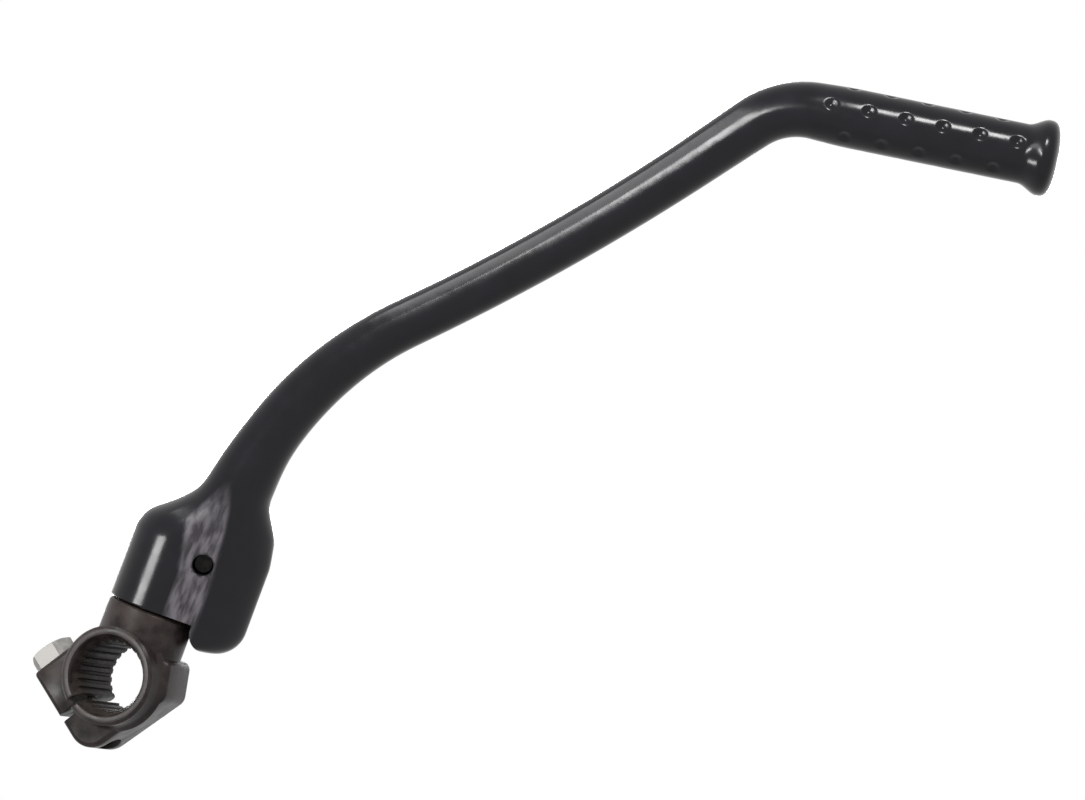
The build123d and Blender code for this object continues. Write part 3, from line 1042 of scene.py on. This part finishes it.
@dataclass
class Studio:
    """White sweep, soft boxes and plain room light. Lengths in metres."""

    floor_drop: float = 0.3
    floor_size: float = 40.0
    shadow_reach: float = 0.9
    shadow_white: float = 0.7
    room_level: float = 0.4
    floor_colour: str = "#e8e8e8"
    boxes: Sequence[SoftBox] = (
        SoftBox("soft box for the upper shank", clock_deg=139.0, off_axis_deg=34.0, size_deg=(7.0, 32.0),
                level=40.0, aim=UPPER_SHANK, distance=0.3),
        SoftBox("dim sheet above the shank", clock_deg=136.0, off_axis_deg=78.0, size_deg=(12.0, 52.0),
                level=6.0, aim=SHANK_TOP, distance=0.3),
        SoftBox("soft box over the peg", clock_deg=80.0, off_axis_deg=48.0, size_deg=(10.0, 12.0),
                level=50.0, aim=PEG),
        SoftBox("soft box beside the knuckle", clock_deg=172.0, off_axis_deg=44.0, size_deg=(10.0, 22.0),
                level=28.0, aim=KNUCKLE),
        SoftBox("soft box behind, upper left", clock_deg=125.0, off_axis_deg=168.0, size_deg=(22.0, 9.0),
                level=12.0, aim=MIDDLE, distance=1.2),
        SoftBox("soft box behind, right", clock_deg=10.0, off_axis_deg=168.0, size_deg=(9.0, 9.0),
                level=10.0, aim=MIDDLE, distance=1.2))

    def build(self, camera_axes: Matrix) -> None:
        """Set up the world, the floor and the lamps.

        Args:
            camera_axes: the camera's right, up and back axes.
        """
        for box in self.boxes:
            box.build(camera_axes)
        world = bpy.data.worlds.new("white studio")
        bpy.context.scene.world = world
        tree = empty_tree(world)
        room = add_node(tree, "ShaderNodeBackground", inputs={
            "Color": grey(1.0), "Strength": self.room_level})
        white = add_node(tree, "ShaderNodeBackground", inputs={"Color": grey(1.0), "Strength": 1.0})
        shown = add_node(tree, "ShaderNodeMixShader", inputs={
            0: self.seen(tree), 1: room.outputs[0], 2: white.outputs[0]})
        add_node(tree, "ShaderNodeOutputWorld", inputs={"Surface": shown.outputs[0]})
        self.floor()

    @staticmethod
    def seen(tree: bpy.types.NodeTree) -> Socket:
        """Find the rays that see the white sweep: those of the camera, of reflections and through glass.

        Args:
            tree: node tree that takes the nodes.

        Returns:
            A socket that is 1 for such a ray.
        """
        path = add_node(tree, "ShaderNodeLightPath").outputs
        direct = add_node(tree, "ShaderNodeMath", {"operation": "MAXIMUM"},
                          {0: path["Is Camera Ray"], 1: path["Is Glossy Ray"]})
        whole = add_node(tree, "ShaderNodeMath", {"operation": "MAXIMUM"},
                         {0: direct.outputs[0], 1: path["Is Transmission Ray"]})
        return whole.outputs[0]

    def floor(self) -> None:
        """Lay the pale floor well below the lever: it keeps a shadow there, and is white further out."""
        mesh = bmesh.new()
        bmesh.ops.create_grid(mesh, x_segments=1, y_segments=1, size=self.floor_size / 2)
        bmesh.ops.translate(mesh, verts=mesh.verts[:], vec=(0, 0, -self.floor_drop))
        floor = new_piece("studio_floor", mesh)
        paint = bpy.data.materials.new("matt white studio floor")
        tree = empty_tree(paint)
        place = add_node(tree, "ShaderNodeTexCoord").outputs["Object"]
        away = add_node(tree, "ShaderNodeVectorMath", {"operation": "LENGTH"}, {0: place}).outputs["Value"]
        whiter = add_node(tree, "ShaderNodeMapRange", {"interpolation_type": "SMOOTHSTEP"}, {
            "Value": away, "From Min": self.floor_drop, "From Max": self.shadow_reach,
            "To Min": self.shadow_white, "To Max": 1.0})
        share = add_node(tree, "ShaderNodeMath", {"operation": "MULTIPLY"}, {
            0: self.seen(tree), 1: whiter.outputs["Result"]})
        matt = add_node(tree, "ShaderNodeBsdfDiffuse", inputs={"Color": linear(self.floor_colour)})
        white = add_node(tree, "ShaderNodeEmission", inputs={"Color": grey(1.0), "Strength": 1.0})
        shown = add_node(tree, "ShaderNodeMixShader", inputs={
            0: share.outputs[0], 1: matt.outputs[0], 2: white.outputs[0]})
        add_node(tree, "ShaderNodeOutputMaterial", inputs={"Surface": shown.outputs[0]})
        floor.data.materials.append(paint)


def main() -> None:
    """Build the lever, the studio and the camera in order."""
    logging.basicConfig(level=logging.INFO, format="%(message)s")
    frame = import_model()
    nodes = frame["nodes"]
    KickArm().build()
    ShaftBoss().build(nodes["shaft_boss"])
    SmallParts().build(nodes)
    camera = PictureCamera()
    camera.build()
    Studio().build(camera.axes())
    bpy.context.scene.view_settings.view_transform = "Standard"


if __name__ == "__main__":
    main()
